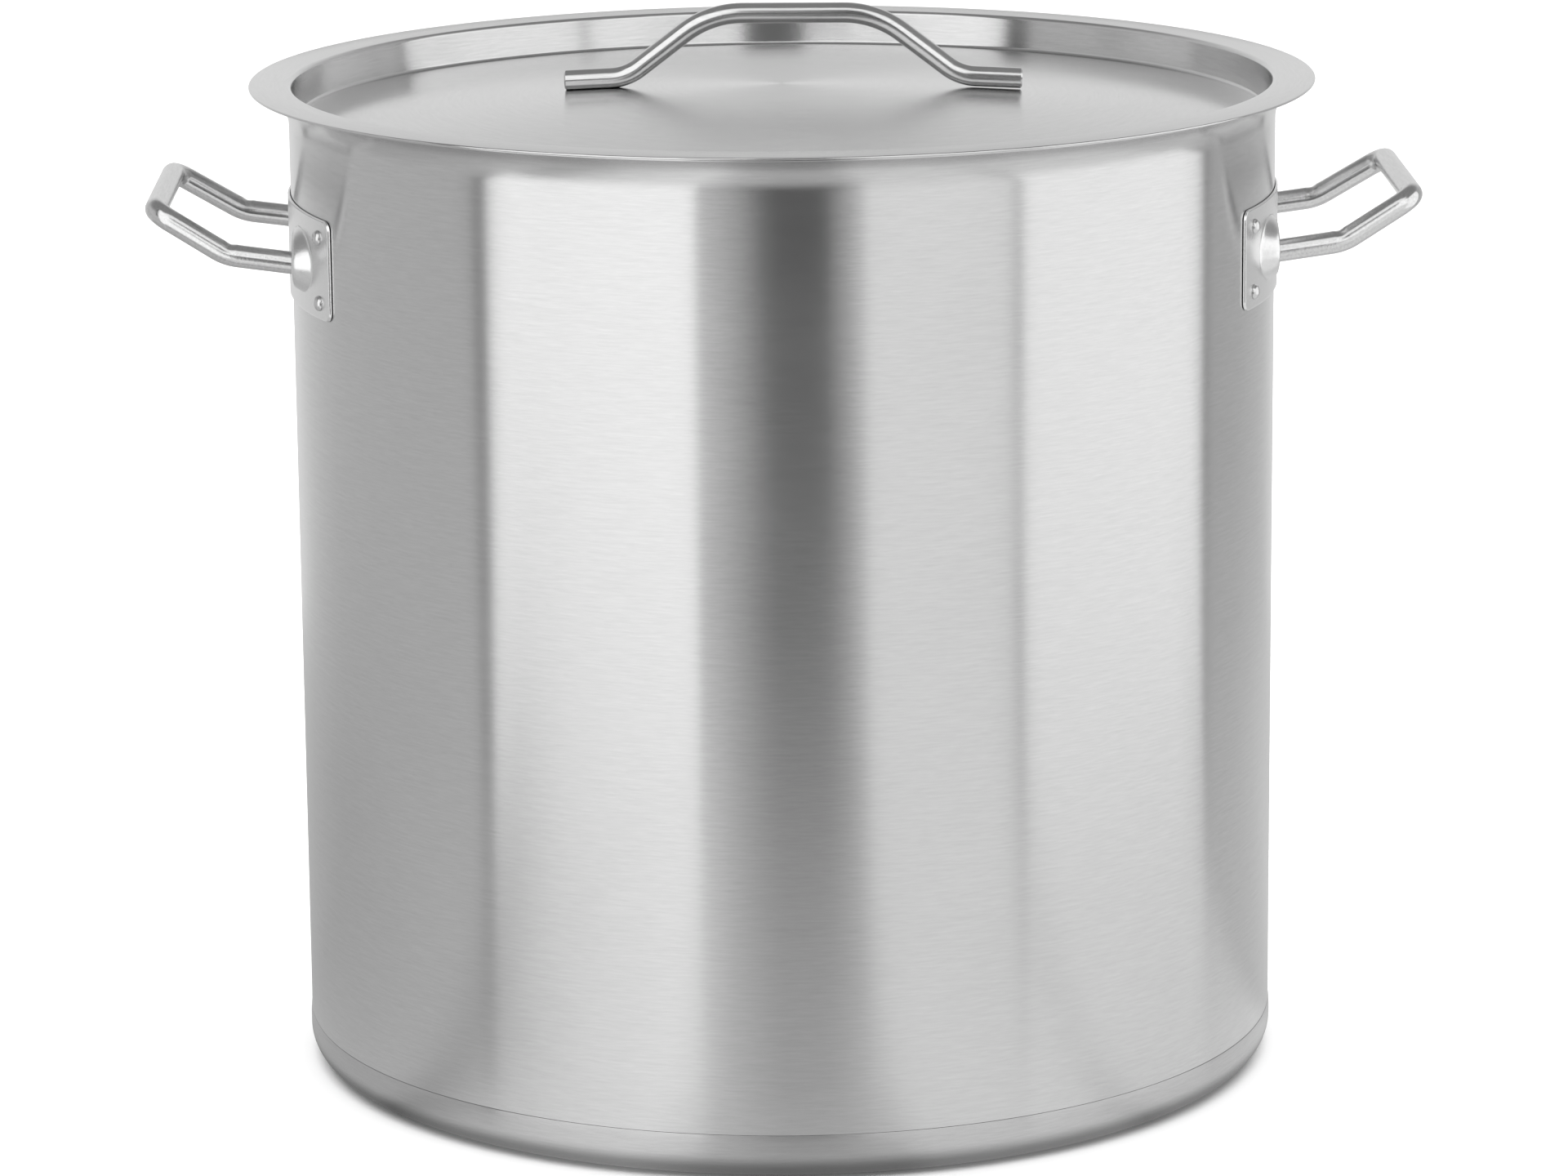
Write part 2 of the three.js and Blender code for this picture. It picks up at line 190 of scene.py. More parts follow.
def revolve(name, profile, segments=ROUND_SEGMENTS):
    """A solid of revolution about Z. The profile's (radius, z) points run anticlockwise."""
    vertices = []
    rings = []
    for radius, z in profile:
        start = len(vertices)
        if radius == 0:
            vertices.append((0, 0, z))
            rings.append([start] * segments)
            continue
        for j in range(segments):
            angle = 2 * math.pi * j / segments
            vertices.append((radius * math.cos(angle), radius * math.sin(angle), z))
        rings.append([start + j for j in range(segments)])
    faces = []
    count = len(rings)
    for i in range(count):
        low, high = rings[i], rings[(i + 1) % count]
        for j in range(segments):
            k = (j + 1) % segments
            corners = [low[j], low[k], high[k], high[j]]
            distinct = list(dict.fromkeys(corners))
            if len(distinct) > 2:
                faces.append(distinct)
    return piece_from(name, vertices, faces)


def sweep(name, stations, radii, facets, squeeze=None):
    """A solid round bar along stations, one radius for each.

    squeeze(point, station, spoke), if given, returns where a point of its skin goes.
    """
    count = len(stations)
    directions = []
    for i in range(count):
        before = stations[max(i - 1, 0)]
        after = stations[min(i + 1, count - 1)]
        directions.append((after - before).normalized())
    side = directions[0].orthogonal().normalized()
    vertices = []
    for i in range(count):
        side = (side - directions[i] * side.dot(directions[i])).normalized()
        up = directions[i].cross(side)
        for j in range(facets):
            angle = 2 * math.pi * j / facets
            spoke = side * math.cos(angle) + up * math.sin(angle)
            point = stations[i] + spoke * radii[i]
            if squeeze:
                point = squeeze(point, stations[i], spoke)
            vertices.append(point)
    faces = []
    for i in range(count - 1):
        for j in range(facets):
            k = (j + 1) % facets
            faces.append((i * facets + j, i * facets + k, (i + 1) * facets + k, (i + 1) * facets + j))
    faces.append(tuple(reversed(range(facets))))
    last = (count - 1) * facets
    faces.append(tuple(last + j for j in range(facets)))
    return piece_from(name, vertices, faces)


def spread(start, end, steps):
    """Evenly spaced points from start up to, but without, end."""
    return [start.lerp(end, i / steps) for i in range(steps)]


# ---- Materials ----

GRAIN_LENGTH = 14  # how many times longer than wide the scratches are
HAIR_DENSITY = 3000  # features in a metre, like the other densities
HAIR_ROUGHNESS = 0.6
STREAK_DENSITY = 1000
CLOUD_DENSITY = 14
CLOUD_ROUGHNESS = 0.55
CLOUD_SHARE = 0.3  # of the scratches' contrast
ROUGHNESS_VARIES = 0.015
NOISE_LOW, NOISE_HIGH = 0.3, 0.7
QUARTER_TURN = 0.25


class Nodes:
    """A node tree with short calls for what these materials use."""

    def __init__(self, name):
        self.material = bpy.data.materials.new(name)
        self.material.use_nodes = True
        self.tree = self.material.node_tree
        self.shader = self.tree.nodes["Principled BSDF"]

    def add(self, kind, **settings):
        node = self.tree.nodes.new(kind)
        for key, value in settings.items():
            setattr(node, key, value)
        return node

    def link(self, source, target):
        self.tree.links.new(source, target)

    def math(self, operation, a, b):
        node = self.add("ShaderNodeMath", operation=operation)
        for socket, value in zip(node.inputs, (a, b)):
            if isinstance(value, (int, float)):
                socket.default_value = value
            else:
                self.link(value, socket)
        return node.outputs[0]

    def from_noise(self, noise, low, high):
        """Maps a noise, most of which lies in NOISE_LOW..NOISE_HIGH, to low..high."""
        node = self.add("ShaderNodeMapRange")
        node.inputs["From Min"].default_value = NOISE_LOW
        node.inputs["From Max"].default_value = NOISE_HIGH
        node.inputs["To Min"].default_value = low
        node.inputs["To Max"].default_value = high
        self.link(noise, node.inputs["Value"])
        return node.outputs["Result"]

    def noise(self, vector, roughness, scale=1.0, detail=2.0):
        node = self.add("ShaderNodeTexNoise")
        node.inputs["Scale"].default_value = scale
        node.inputs["Detail"].default_value = detail
        node.inputs["Roughness"].default_value = roughness
        self.link(vector, node.inputs["Vector"])
        return node.outputs["Fac"]

    def place(self):
        return self.add("ShaderNodeTexCoord").outputs["Object"]

    def stretched(self, vector, x, y, z):
        node = self.add("ShaderNodeVectorMath", operation="MULTIPLY")
        self.link(vector, node.inputs[0])
        node.inputs[1].default_value = (x, y, z)
        return node.outputs[0]


def brushed(name, tone, roughness, anisotropic, grain, mottle, bump=0.01 * MM):
    """Brushed steel. grain(nodes, place, density) stretches a place so that the noise runs as scratches."""
    nodes = Nodes(name)
    shader = nodes.shader
    place = nodes.place()
    hair = nodes.noise(grain(nodes, place, HAIR_DENSITY), HAIR_ROUGHNESS)
    streak = nodes.noise(grain(nodes, place, STREAK_DENSITY), CLOUD_ROUGHNESS)
    cloud = nodes.noise(place, CLOUD_ROUGHNESS, scale=CLOUD_DENSITY, detail=3)
    lines = nodes.math("ADD", nodes.math("MULTIPLY", hair, 0.5), nodes.math("MULTIPLY", streak, 0.5))
    clouds = mottle * CLOUD_SHARE
    scratched = nodes.from_noise(lines, 1 - mottle, 1 + mottle)
    shade = nodes.math("ADD", scratched, nodes.from_noise(cloud, -clouds, clouds))
    tint = nodes.add("ShaderNodeVectorMath", operation="SCALE")
    tint.inputs[0].default_value = (tone, tone, tone)
    nodes.link(shade, tint.inputs["Scale"])
    nodes.link(tint.outputs[0], shader.inputs["Base Color"])
    varied = nodes.from_noise(cloud, roughness - ROUGHNESS_VARIES, roughness + ROUGHNESS_VARIES)
    nodes.link(varied, shader.inputs["Roughness"])
    relief = nodes.add("ShaderNodeBump")
    relief.inputs["Strength"].default_value = 1
    relief.inputs["Distance"].default_value = bump
    nodes.link(lines, relief.inputs["Height"])
    nodes.link(relief.outputs["Normal"], shader.inputs["Normal"])
    shader.inputs["Metallic"].default_value = 1
    if anisotropic:
        shader.inputs["Anisotropic"].default_value = anisotropic
        shader.inputs["Anisotropic Rotation"].default_value = QUARTER_TURN
        tangent = nodes.add("ShaderNodeTangent", direction_type="RADIAL", axis="Z")
        nodes.link(tangent.outputs[0], shader.inputs["Tangent"])
    return nodes.material


def round_wall(nodes, place, density):
    """Scratches that run round a wall: quick to change with height only."""
    return nodes.stretched(place, density / GRAIN_LENGTH, density / GRAIN_LENGTH, density)


def rings(nodes, place, density):
    """Scratches that run in rings round Z, on faces that look up or down, and round walls too."""
    flat = nodes.stretched(place, 1, 1, 0)
    length = nodes.add("ShaderNodeVectorMath", operation="LENGTH")
    nodes.link(flat, length.inputs[0])
    parts = nodes.add("ShaderNodeSeparateXYZ")
    nodes.link(place, parts.inputs[0])
    joined = nodes.add("ShaderNodeCombineXYZ")
    across = nodes.math("ADD", length.outputs["Value"], parts.outputs["Z"])
    nodes.link(nodes.math("MULTIPLY", across, density), joined.inputs["X"])
    nodes.link(nodes.math("MULTIPLY", parts.outputs["X"], density / GRAIN_LENGTH), joined.inputs["Y"])
    nodes.link(nodes.math("MULTIPLY", parts.outputs["Y"], density / GRAIN_LENGTH), joined.inputs["Z"])
    return joined.outputs[0]


def tumbled_grain(nodes, place, density):
    """Specks with no direction."""
    return nodes.stretched(place, density, density, density)


def along_x(nodes, place, density):
    """Scratches along a bar that runs in X."""
    return nodes.stretched(place, density / GRAIN_LENGTH, density, density)


def along_y(nodes, place, density):
    """Scratches along a bar that runs in Y."""
    return nodes.stretched(place, density, density / GRAIN_LENGTH, density)


BODY = brushed("pot_body_steel", 0.63, 0.232, 0.986, round_wall, mottle=0.05)
BASE = brushed("pot_base_steel", 0.55, 0.24, 0.97, rings, mottle=0.05)
LID = brushed("pot_lid_steel", 0.64, 0.2, 0.833, rings, mottle=0.06)
ROD = brushed("pot_rod_steel", 0.66, 0.17, 0, along_x, mottle=0.08, bump=0.02 * MM)
TUBE = brushed("pot_tube_steel", 0.66, 0.17, 0, along_y, mottle=0.1, bump=0.03 * MM)
PLATE = brushed("pot_plate_steel", 0.8, 0.27, 0, tumbled_grain, mottle=0.05, bump=0.02 * MM)
RIVET = brushed("pot_rivet_steel", 0.66, 0.2, 0, tumbled_grain, mottle=0.06, bump=0.02 * MM)
CORE = brushed("pot_core_aluminium", 0.73, 0.45, 0, rings, mottle=0.05)


def dress(piece, material, slot, body, *nodes):
    """Gives a piece its material, its body and the frame's nodes that it stands for. The slot argument is
    not used.
    """
    piece.data.materials.clear()
    piece.data.materials.append(material)
    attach(piece, body)
    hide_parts(*nodes)
    return piece


# ---- Pot and base ----

def pot_shell():
    """One drawn sheet: floor, neck inside the base's cap, wall and flared rim."""
    neck_r = POT_OUTER_R - NECK_IN
    neck_z = CAP_TOP_Z + NECK_CLEARANCE
    corner_r = neck_r - POT_CORNER_R
    corner_z = POT_FLOOR_Z + POT_CORNER_R
    flare_r = POT_OUTER_R + FLARE_R
    lip = 180 - FLARE_SWEEP
    lip_mid_r = FLARE_R + SHEET / 2
    lip_angle = math.radians(lip)
    lip_r = flare_r + lip_mid_r * math.cos(lip_angle)
    lip_z = FLARE_Z + lip_mid_r * math.sin(lip_angle)
    shoulder_z = neck_z + CREASE_ROUND
    wall = [(POT_OUTER_R, shoulder_z + i * WALL_STEP) for i in range(1, WALL_STEPS + 1)]
    inner_wall = [(POT_INNER_R, z) for _, z in reversed(wall)]
    profile = [
        (0, POT_FLOOR_Z),
        *arc(corner_r, corner_z, POT_CORNER_R, -90, 0, steps=10),
        (neck_r, neck_z),
        *arc(POT_OUTER_R - CREASE_ROUND, shoulder_z, CREASE_ROUND, -90, 0, steps=6),
        *wall,
        *arc(flare_r, FLARE_Z, FLARE_R, 180, lip, steps=24),
        *arc(lip_r, lip_z, SHEET / 2, lip - 180, lip, steps=6)[1:-1],
        *arc(flare_r, FLARE_Z, FLARE_R + SHEET, lip, 180, steps=24),
        *inner_wall,
        (POT_INNER_R, shoulder_z + SHEET),
        (neck_r - SHEET, neck_z + NECK_INSIDE_RISE),
        *arc(corner_r, corner_z, POT_CORNER_R - SHEET, 0, -90, steps=10),
        (0, POT_FLOOR_Z + SHEET),
    ]
    return dress(revolve("pot_shell", profile), BODY, "body_steel", "pot", "pot_body")


def base_shell():
    """The cap pressed over the core and the pot's lower corner."""
    corner_r = CAP_OUTER_R - CAP_CORNER_R
    top_r = CAP_OUTER_R - CAP_TAPER
    profile = [
        (0, 0),
        *arc(corner_r, CAP_CORNER_R, CAP_CORNER_R, -90, 0, steps=20),
        (CAP_OUTER_R, CAP_TOP_Z - CAP_TAPER_START),
        (CAP_OUTER_R - CAP_TURN_SHARE * CAP_TAPER, CAP_TOP_Z - CAP_TAPER_TURN),
        *arc(top_r - CREASE_ROUND, CAP_TOP_Z - CREASE_ROUND, CREASE_ROUND, 0, 90, steps=6),
        (CAP_OUTER_R - CAP_SHEET, CAP_TOP_Z),
        *arc(corner_r, CAP_CORNER_R, CAP_CORNER_R - CAP_SHEET, 0, -90, steps=12),
        (0, CAP_SHEET),
    ]
    return dress(revolve("base_shell", profile), BASE, "base_steel", "pot", "base_cap")


# ---- Lid ----

def lid_floor_z(radius):
    """Height of the floor's upper face over the flange's underside."""
    return LID_CROWN * (1 - (radius / LID_WALL_FOOT_R) ** 2) - LID_DEPTH


def lid_shell():
    """One pressed sheet: crowned floor, wall and flange."""
    def face(drop, wall_shift, corner_r, shoulder_r):
        floor_rings = [(r, lid_floor_z(r) - drop) for r in (i * LID_RING_STEP for i in range(LID_RINGS))]
        foot = (LID_WALL_FOOT_R + wall_shift, -LID_DEPTH - drop)
        shoulder = (LID_WALL_TOP_R + wall_shift, SHEET - drop)
        edge = (FLANGE_OUTER_R - SHEET / 2, SHEET - drop)
        return [
            *floor_rings,
            *profile_corner(floor_rings[-1], foot, shoulder, corner_r, steps=10),
            *profile_corner(foot, shoulder, edge, shoulder_r, steps=12),
            edge,
        ]
    underside = face(SHEET, SHEET, LID_CORNER_R + SHEET, LID_SHOULDER_R - SHEET)
    upperside = face(0, 0, LID_CORNER_R, LID_SHOULDER_R)
    rim = arc(FLANGE_OUTER_R - SHEET / 2, SHEET / 2, SHEET / 2, -90, 90, steps=6)[1:-1]
    profile = underside + rim + upperside[::-1]
    lid = revolve("lid_shell", [(r, z + LID_Z) for r, z in profile])
    return dress(lid, LID, "lid_steel", "lid", "lid_pan")


def lid_rod():
    """The lid's handle: one bent rod with a foot at each end."""
    def on_floor(x):
        return lid_floor_z(x) + ROD_SEAT + ROD_R

    end_z = on_floor(ROD_HALF_LENGTH)
    end = Vector((-ROD_HALF_LENGTH, 0, end_z))
    foot = Vector((-ROD_FOOT_BEND_X, 0, on_floor(ROD_FOOT_BEND_X)))
    top = Vector((-ROD_TOP_BEND_X, 0, end_z + ROD_RISE))
    middle = Vector((0, 0, end_z + ROD_RISE))
    foot_bend = rounded_corner(end, foot, top, ROD_FOOT_BEND_R, steps=14)
    top_bend = rounded_corner(foot, top, middle, ROD_TOP_BEND_R, steps=14)
    chamfer = (foot_bend[0] - end).normalized() * ROD_CHAMFER
    half = [
        end,
        end + chamfer,
        *spread(end + 2 * chamfer, foot_bend[0], steps=4),
        *foot_bend[:-1],
        *spread(foot_bend[-1], top_bend[0], steps=4),
        *top_bend[:-1],
        *spread(top_bend[-1], middle, steps=4),
    ]
    stations = half + [middle] + [Vector((-p.x, p.y, p.z)) for p in reversed(half)]
    radii = [ROD_R] * len(stations)
    radii[0] = radii[-1] = ROD_R - ROD_CHAMFER
    rod = sweep("lid_rod", stations, radii, ROD_FACETS)
    rod.data.transform(Matrix.Translation((ROD_OFFSET_X, 0, LID_Z)))
    rod.matrix_world = Matrix.Rotation(LID_TURN, 4, "Z")
    return dress(rod, ROD, "handle_steel", "lid", "lid_handle")


# ---- Side handles, made for the one at +X ----

def softened(value, reach):
    """The value, or 0 where it is negative, with the turn between them rounded off."""
    return max(value, 0) + reach * math.log1p(math.exp(-abs(value) / reach))


def boss_height(y, z):
    """How far the plate's face stands out over its own curve, at a place across and up it."""
    steepness = 1 - math.hypot((abs(y) - BOSS_Y) / BOSS_HALF_WIDTH, (z - BOSS_Z) / BOSS_UP)
    flank = softened(BOSS_FLANK * steepness, BOSS_FOOT_ROUND)
    face = BOSS_FACE_X / math.sqrt(1 - (y / PLATE_OUTER_R) ** 2) - PLATE_OUTER_R
    return max(0.0, flank - softened(flank - face, BOSS_TOP_ROUND))


def plate(side_name, turn):
    """The curved bracket, as an outer and an inner grid joined at their edges."""
    columns = PLATE_COLUMNS
    rows = PLATE_ROWS
    corner_y = PLATE_HALF_WIDTH - PLATE_CORNER_R
    vertices = []

    def half_height(y):
        over = abs(y) - corner_y
        if over <= 0:
            return PLATE_HEIGHT / 2
        over = min(over, PLATE_CORNER_R)
        return PLATE_HEIGHT / 2 - PLATE_CORNER_R + math.sqrt(PLATE_CORNER_R ** 2 - over ** 2)

    def column_place(i):
        share = 2 * i / columns - 1
        if abs(share) <= STRAIGHT_SHARE:
            return share / STRAIGHT_SHARE * corner_y
        angle = (abs(share) - STRAIGHT_SHARE) / (1 - STRAIGHT_SHARE) * math.pi / 2
        return math.copysign(corner_y + PLATE_CORNER_R * math.sin(angle), share)

    def grid(radius, proud):
        start = len(vertices)
        for i in range(columns + 1):
            y = column_place(i)
            top = half_height(y)
            for j in range(rows + 1):
                z = PLATE_Z + top * (2 * j / rows - 1)
                edge = min(top - abs(z - PLATE_Z), PLATE_HALF_WIDTH - abs(y))
                bevel = 0
                if proud and edge < PLATE_EDGE_ROUND:
                    into = PLATE_EDGE_ROUND - edge
                    bevel = PLATE_EDGE_ROUND - math.sqrt(max(0, PLATE_EDGE_ROUND ** 2 - into ** 2))
                out = radius + proud * boss_height(y, z) - bevel
                angle = math.asin(y / radius)
                vertices.append((out * math.cos(angle), out * math.sin(angle), z))
        return start

    outer = grid(PLATE_OUTER_R, 1)
    inner = grid(PLATE_INNER_R, 0)
    faces = []

    def at(start, i, j):
        return start + i * (rows + 1) + j

    for i in range(columns):
        for j in range(rows):
            k = j + 1
            faces.append((at(outer, i, j), at(outer, i + 1, j), at(outer, i + 1, k), at(outer, i, k)))
            faces.append((at(inner, i, j), at(inner, i, k), at(inner, i + 1, k), at(inner, i + 1, j)))
        for j, first, second in ((0, inner, outer), (rows, outer, inner)):
            faces.append((at(first, i, j), at(first, i + 1, j), at(second, i + 1, j), at(second, i, j)))
    for j in range(rows):
        for i, first, second in ((0, outer, inner), (columns, inner, outer)):
            faces.append((at(first, i, j), at(first, i, j + 1), at(second, i, j + 1), at(second, i, j)))
    made = piece_from(f"{side_name}_plate", vertices, faces)
    made.matrix_world = turn
    return dress(made, PLATE, "bracket_steel", "pot", f"{side_name}_handle_bracket")


def knee_dent(point, station, spoke):
    """The tube's wall is crushed in at the inside of each knee, and stands up a little round the dent."""
    knee = Vector((TUBE_KNEE.x, math.copysign(TUBE_KNEE.y, station.y), TUBE_KNEE.z))
    reach = (station - knee).length
    dent = KNEE_DENT_DEPTH * math.exp(-(reach / KNEE_DENT_REACH) ** 2)
    ridge = KNEE_RIDGE_HEIGHT * math.exp(-((reach - KNEE_RIDGE_FROM_KNEE) / KNEE_RIDGE_REACH) ** 2)
    facing = max(0.0, spoke.z) ** 2
    return point - spoke * facing * (dent - ridge)


def grip(side_name, turn):
    """The bent tube, from one boss to the other."""
    other_corner = Vector((TUBE_CORNER.x, -TUBE_CORNER.y, TUBE_CORNER.z))
    knee_bend = rounded_corner(TUBE_END, TUBE_KNEE, TUBE_CORNER, TUBE_KNEE_R, steps=24)
    corner_bend = rounded_corner(TUBE_KNEE, TUBE_CORNER, other_corner, TUBE_CORNER_R, steps=16)
    middle = Vector((corner_bend[-1].x, 0, corner_bend[-1].z))
    half = [
        *spread(TUBE_END, knee_bend[0], steps=10),
        *knee_bend[:-1],
        *spread(knee_bend[-1], corner_bend[0], steps=14),
        *corner_bend[:-1],
        *spread(corner_bend[-1], middle, steps=16),
    ]
    stations = half + [middle] + [Vector((p.x, -p.y, p.z)) for p in reversed(half)]
    tube = sweep(f"{side_name}_grip", stations, [TUBE_R] * len(stations), TUBE_FACETS, knee_dent)
    tube.matrix_world = turn
    return dress(tube, TUBE, "handle_steel", "pot", f"{side_name}_handle_tube")


def stud(side_name, number, angle, z, turn):
    """A rivet, with a round head outside and a flat one inside."""
    flat_top = POT_INNER_R - RIVET_FLAT_GAP
    flat_foot = flat_top - RIVET_FLAT_HEIGHT
    foot = PLATE_OUTER_R + RIVET_SEAT
    dome_angles = [math.radians(DOME_FROM + (90 - DOME_FROM) * i / DOME_STEPS) for i in range(DOME_STEPS)]
    dome = [(RIVET_HEAD_R * math.cos(a), foot + RIVET_HEAD_HEIGHT * math.sin(a)) for a in dome_angles]
    profile = [
        (0, flat_foot),
        (RIVET_FLAT_R - RIVET_FLAT_CHAMFER, flat_foot),
        (RIVET_FLAT_R, flat_foot + RIVET_FLAT_CHAMFER),
        (RIVET_FLAT_R, flat_top),
        (RIVET_SHANK_R, flat_top),
        (RIVET_SHANK_R, foot),
        (RIVET_HEAD_R, foot),
        *dome,
        (0, foot + RIVET_HEAD_HEIGHT),
    ]
    made = revolve(f"{side_name}_stud_{number}", profile, RIVET_FACETS)
    outwards = Matrix.Rotation(math.radians(angle), 4, "Z") @ Matrix.Rotation(math.pi / 2, 4, "Y")
    made.matrix_world = turn @ Matrix.Translation((0, 0, z)) @ outwards
    return dress(made, RIVET, "rivet_steel", "pot", f"{side_name}_rivet_{number}")


def side_handle(side_name):
    turn = Matrix.Rotation(math.pi if side_name == "left" else 0, 4, "Z")
    plate(side_name, turn)
    grip(side_name, turn)
    number = 0
    for z in RIVET_ROWS_Z:
        for sign in (-1, 1):
            number += 1
            stud(side_name, number, sign * RIVET_ANGLE, z, turn)


pot_shell()
base_shell()
lid_shell()
lid_rod()
side_handle("left")
side_handle("right")
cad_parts["base_core"].data.materials.clear()
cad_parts["base_core"].data.materials.append(CORE)


# ---- Studio ----

# Brightness by bearing: degrees from -Y, where the camera is, towards +X, then radiance.
ROOM_TONES = (
    (-180, 0.80), (-162, 0.80), (-146, 0.70), (-130, 0.62), (-84, 0.60), (-23, 0.62), (-16, 0.50),
    (-9, 0.22), (-3, 0.09), (9.5, 0.08), (13, 0.24), (16.5, 0.62), (54, 0.60), (57, 0.34),
    (60, 0.60), (112, 0.52), (126, 0.54), (150, 0.64), (163, 0.78), (180, 0.80),
)
TABLE_TONES = (
    (-180, 0.55), (-110, 0.49), (-90, 0.55), (-68, 0.62), (-62, 0.60), (-57, 0.42), (-51, 0.61),
    (-46, 0.76), (-35, 0.91), (-25, 1.0), (-20.5, 1.04), (-16, 0.90), (-11, 0.70), (-6.6, 0.64),
    (-2, 0.60), (7.4, 0.60), (12, 0.62), (16.7, 0.86), (21.5, 0.9), (41, 0.9), (46.4, 0.71),
    (52, 0.86), (90, 0.86), (98, 0.65), (112, 0.67), (130, 0.72), (180, 0.6),
)
CEILING_TONE = 0.28
CEILING_FROM = 22  # degrees over the horizon
CEILING_TO = 50
TABLE_R = 0.85
TABLE_SIDES = 96
TABLE_DROP = 0.5 * MM
SHADE_FROM_R = 0.20  # painted shadow: the table glow is darker close to the pot, standing in for the pot's shade on the table
SHADE_TO_R = 0.215
SHADE_TONE = 0.36
FLOOR_REACH = 9
FLOOR_TONE = 0.93
LAMP_SIZE = 6
LAMP_RADIANCE = 3  # its energy is this, times pi, times its area
LAMP_PLACE = (0, 0.5, 3.4)
# Upright soft boxes and the dark strips beside them: where each starts and ends on the floor,
# its lowest and highest z, and its radiance.
LOW, MIDDLE, INNER_LOW, HIGH = -1.2, 0.46, 0.56, 1.6
CARDS = (
    ("left_card", (-0.412, -1.168), (-0.722, -0.352), LOW, HIGH, 1.40),
    ("left_card_inner", (-0.160, -1.268), (-0.410, -1.172), INNER_LOW, HIGH, 1.40),
    ("left_card_edge", (-0.724, -0.347), (-0.740, -0.305), LOW, MIDDLE, 0.22),
    ("left_card_edge_top", (-0.724, -0.347), (-0.758, -0.258), MIDDLE, HIGH, 0.05),
    ("right_card_near", (0.389, -1.343), (1.270, -1.081), LOW, MIDDLE, 0.98),
    ("right_card_near_top", (0.215, -1.395), (1.270, -1.081), MIDDLE, HIGH, 1.36),
    ("right_card_far", (1.345, -1.045), (1.836, 0.563), LOW, HIGH, 1.28),
    ("right_card_edge", (1.838, 0.570), (1.868, 0.668), LOW, HIGH, 0.1),
)
OVERHEAD_CARD_HALF_WIDTH = 1.1
OVERHEAD_CARD_REACH = 2.2
OVERHEAD_CARD_ELEVATIONS = (36, 60)
OVERHEAD_CARD_RADIANCE = 1.15


def bearing_tones(tree, vector, tones):
    """A colour that depends on a vector's bearing round Z, after a table of tones."""
    parts = tree.nodes.new("ShaderNodeSeparateXYZ")
    tree.links.new(vector, parts.inputs[0])
    toward_camera = tree.nodes.new("ShaderNodeMath")
    toward_camera.operation = "MULTIPLY"
    tree.links.new(parts.outputs["Y"], toward_camera.inputs[0])
    toward_camera.inputs[1].default_value = -1
    bearing = tree.nodes.new("ShaderNodeMath")
    bearing.operation = "ARCTAN2"
    tree.links.new(parts.outputs["X"], bearing.inputs[0])
    tree.links.new(toward_camera.outputs[0], bearing.inputs[1])
    share = tree.nodes.new("ShaderNodeMapRange")
    share.inputs["From Min"].default_value = -math.pi
    share.inputs["From Max"].default_value = math.pi
    tree.links.new(bearing.outputs[0], share.inputs["Value"])
    ramp = tree.nodes.new("ShaderNodeValToRGB")
    tree.links.new(share.outputs["Result"], ramp.inputs[0])
    stops = ramp.color_ramp.elements
    for i, (degrees, tone) in enumerate(tones):
        position = (degrees + 180) / 360
        stop = stops[i] if i < 2 else stops.new(position)
        stop.position = position
        stop.color = (tone, tone, tone, 1)
    return ramp.outputs["Color"]


def room():
    """The world: soft tones round the room, under a darker ceiling."""
    world = bpy.data.worlds.new("room")
    world.use_nodes = True
    bpy.context.scene.world = world
    tree = world.node_tree
    direction = tree.nodes.new("ShaderNodeTexCoord").outputs["Generated"]
    parts = tree.nodes.new("ShaderNodeSeparateXYZ")
    tree.links.new(direction, parts.inputs[0])
    rise = tree.nodes.new("ShaderNodeMapRange")
    rise.interpolation_type = "SMOOTHSTEP"
    rise.inputs["From Min"].default_value = math.sin(math.radians(CEILING_FROM))
    rise.inputs["From Max"].default_value = math.sin(math.radians(CEILING_TO))
    tree.links.new(parts.outputs["Z"], rise.inputs["Value"])
    blend = tree.nodes.new("ShaderNodeMixRGB")
    tree.links.new(rise.outputs["Result"], blend.inputs["Fac"])
    tree.links.new(bearing_tones(tree, direction, ROOM_TONES), blend.inputs["Color1"])
    blend.inputs["Color2"].default_value = (CEILING_TONE, CEILING_TONE, CEILING_TONE, 1)
    tree.links.new(blend.outputs["Color"], tree.nodes["Background"].inputs["Color"])


def glowing(name, radiance):
    """A material that only shines; returns it with its tree and its emission node."""
    material = bpy.data.materials.new(name)
    material.use_nodes = True
    tree = material.node_tree
    tree.nodes.clear()
    emission = tree.nodes.new("ShaderNodeEmission")
    emission.inputs["Color"].default_value = (1, 1, 1, 1)
    emission.inputs["Strength"].default_value = radiance
    output = tree.nodes.new("ShaderNodeOutputMaterial")
    tree.links.new(emission.outputs[0], output.inputs["Surface"])
    return material, tree, emission


def stage_mesh(name, corners, material):
    """A flat piece of the studio."""
    mesh = bpy.data.meshes.new(name)
    mesh.from_pydata(corners, [], [tuple(range(len(corners)))])
    mesh.materials.append(material)
    made = bpy.data.objects.new(name, mesh)
    bpy.context.scene.collection.objects.link(made)
    return made


def reflection_only(made):
    """Hides a stage piece from all but glossy rays."""
    made.visible_camera = False
    made.visible_diffuse = False
    made.visible_shadow = False
    made.visible_transmission = False


def card(name, start, end, low, high, radiance):
    """An upright soft box between two places on the floor."""
    (x0, y0), (x1, y1) = start, end
    corners = [(x0, y0, low), (x1, y1, low), (x1, y1, high), (x0, y0, high)]
    reflection_only(stage_mesh(name, corners, glowing(name, radiance)[0]))


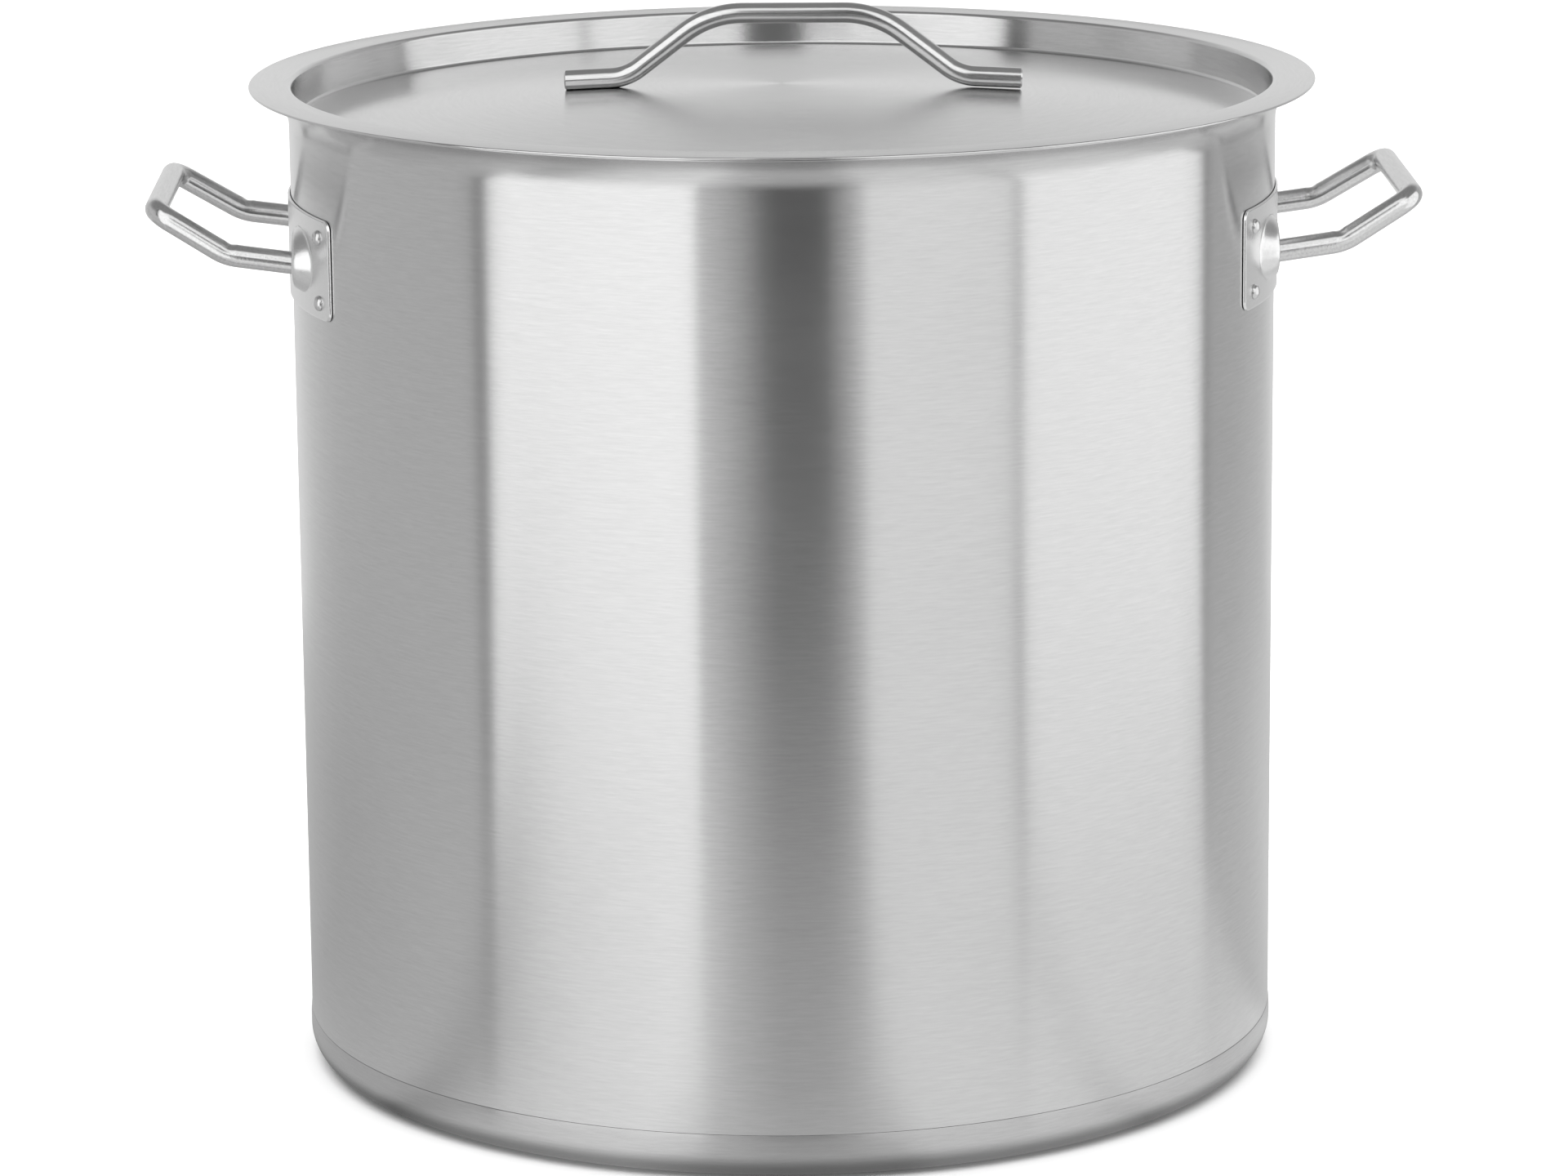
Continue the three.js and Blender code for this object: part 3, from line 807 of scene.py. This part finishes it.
def overhead_card():
    """A soft box high in front of the pot, over the camera."""
    def edge(elevation):
        angle = math.radians(elevation)
        return -OVERHEAD_CARD_REACH * math.cos(angle), RIM_TOP_Z + OVERHEAD_CARD_REACH * math.sin(angle)

    corners = []
    for elevation, signs in zip(OVERHEAD_CARD_ELEVATIONS, ((-1, 1), (1, -1))):
        y, z = edge(elevation)
        corners += [(sign * OVERHEAD_CARD_HALF_WIDTH, y, z) for sign in signs]
    material = glowing("overhead_card", OVERHEAD_CARD_RADIANCE)[0]
    reflection_only(stage_mesh("overhead_card", corners, material))


def table():
    """The lit table round the pot, as the steel reflects it."""
    material, tree, emission = glowing("table_glow", 1)
    place = tree.nodes.new("ShaderNodeTexCoord").outputs["Object"]
    tree.links.new(bearing_tones(tree, place, TABLE_TONES), emission.inputs["Color"])
    distance = tree.nodes.new("ShaderNodeVectorMath")
    distance.operation = "LENGTH"
    tree.links.new(place, distance.inputs[0])
    # painted shadow: the glow's strength drops close to the pot, standing in for the pot's shade on the
    # table
    shade = tree.nodes.new("ShaderNodeMapRange")
    shade.inputs["From Min"].default_value = SHADE_FROM_R
    shade.inputs["From Max"].default_value = SHADE_TO_R
    shade.inputs["To Min"].default_value = SHADE_TONE
    tree.links.new(distance.outputs["Value"], shade.inputs["Value"])
    tree.links.new(shade.outputs["Result"], emission.inputs["Strength"])
    corners = [(TABLE_R * math.cos(a), TABLE_R * math.sin(a), -TABLE_DROP)
               for a in (2 * math.pi * i / TABLE_SIDES for i in range(TABLE_SIDES))]
    reflection_only(stage_mesh("table_glow", corners, material))


def floor():
    """The pale floor that the camera sees."""
    reach = FLOOR_REACH
    paint = bpy.data.materials.new("floor_paint")
    paint.use_nodes = True
    shader = paint.node_tree.nodes["Principled BSDF"]
    shader.inputs["Base Color"].default_value = (FLOOR_TONE, FLOOR_TONE, FLOOR_TONE, 1)
    shader.inputs["Roughness"].default_value = 1
    shader.inputs["Specular IOR Level"].default_value = 0
    corners = [(-reach, -reach, 0), (reach, -reach, 0), (reach, reach, 0), (-reach, reach, 0)]
    stage_mesh("floor", corners, paint).visible_glossy = False


def overhead():
    """A wide soft light that lights the floor."""
    light = bpy.data.lights.new("overhead", "AREA")
    light.size = LAMP_SIZE
    light.energy = LAMP_RADIANCE * math.pi * LAMP_SIZE ** 2
    lamp = bpy.data.objects.new("overhead", light)
    lamp.location = LAMP_PLACE
    lamp.visible_camera = False
    lamp.visible_glossy = False
    bpy.context.scene.collection.objects.link(lamp)


def studio():
    bpy.context.scene.view_settings.view_transform = "Standard"
    room()
    table()
    floor()
    overhead()
    for settings in CARDS:
        card(*settings)
    overhead_card()


# ---- Camera ----

CAMERA_PLACE = (-0.0479, -2.4965, 0.7655)
CAMERA_HEADING = 0.0188  # radians from +Y towards +X
CAMERA_PITCH = 0.22565  # radians downwards
CAMERA_ROLL = -0.0091266
CAMERA_LENS = 141.45
CAMERA_SENSOR = 36
CAMERA_REACH = 50


def camera():
    data = bpy.data.cameras.new("camera")
    data.sensor_width = CAMERA_SENSOR
    data.lens = CAMERA_LENS
    data.clip_end = CAMERA_REACH
    made = bpy.data.objects.new("camera", data)
    bpy.context.scene.collection.objects.link(made)
    ahead = Vector((math.sin(CAMERA_HEADING), math.cos(CAMERA_HEADING), 0))
    forward = ahead * math.cos(CAMERA_PITCH) - Vector((0, 0, math.sin(CAMERA_PITCH)))
    level = Vector((ahead.y, -ahead.x, 0))
    upright = level.cross(forward)
    right = level * math.cos(CAMERA_ROLL) + upright * math.sin(CAMERA_ROLL)
    up = upright * math.cos(CAMERA_ROLL) - level * math.sin(CAMERA_ROLL)
    facing = Matrix((right, up, -forward)).transposed().to_4x4()
    made.matrix_world = Matrix.Translation(CAMERA_PLACE) @ facing
    bpy.context.scene.camera = made


studio()
camera()
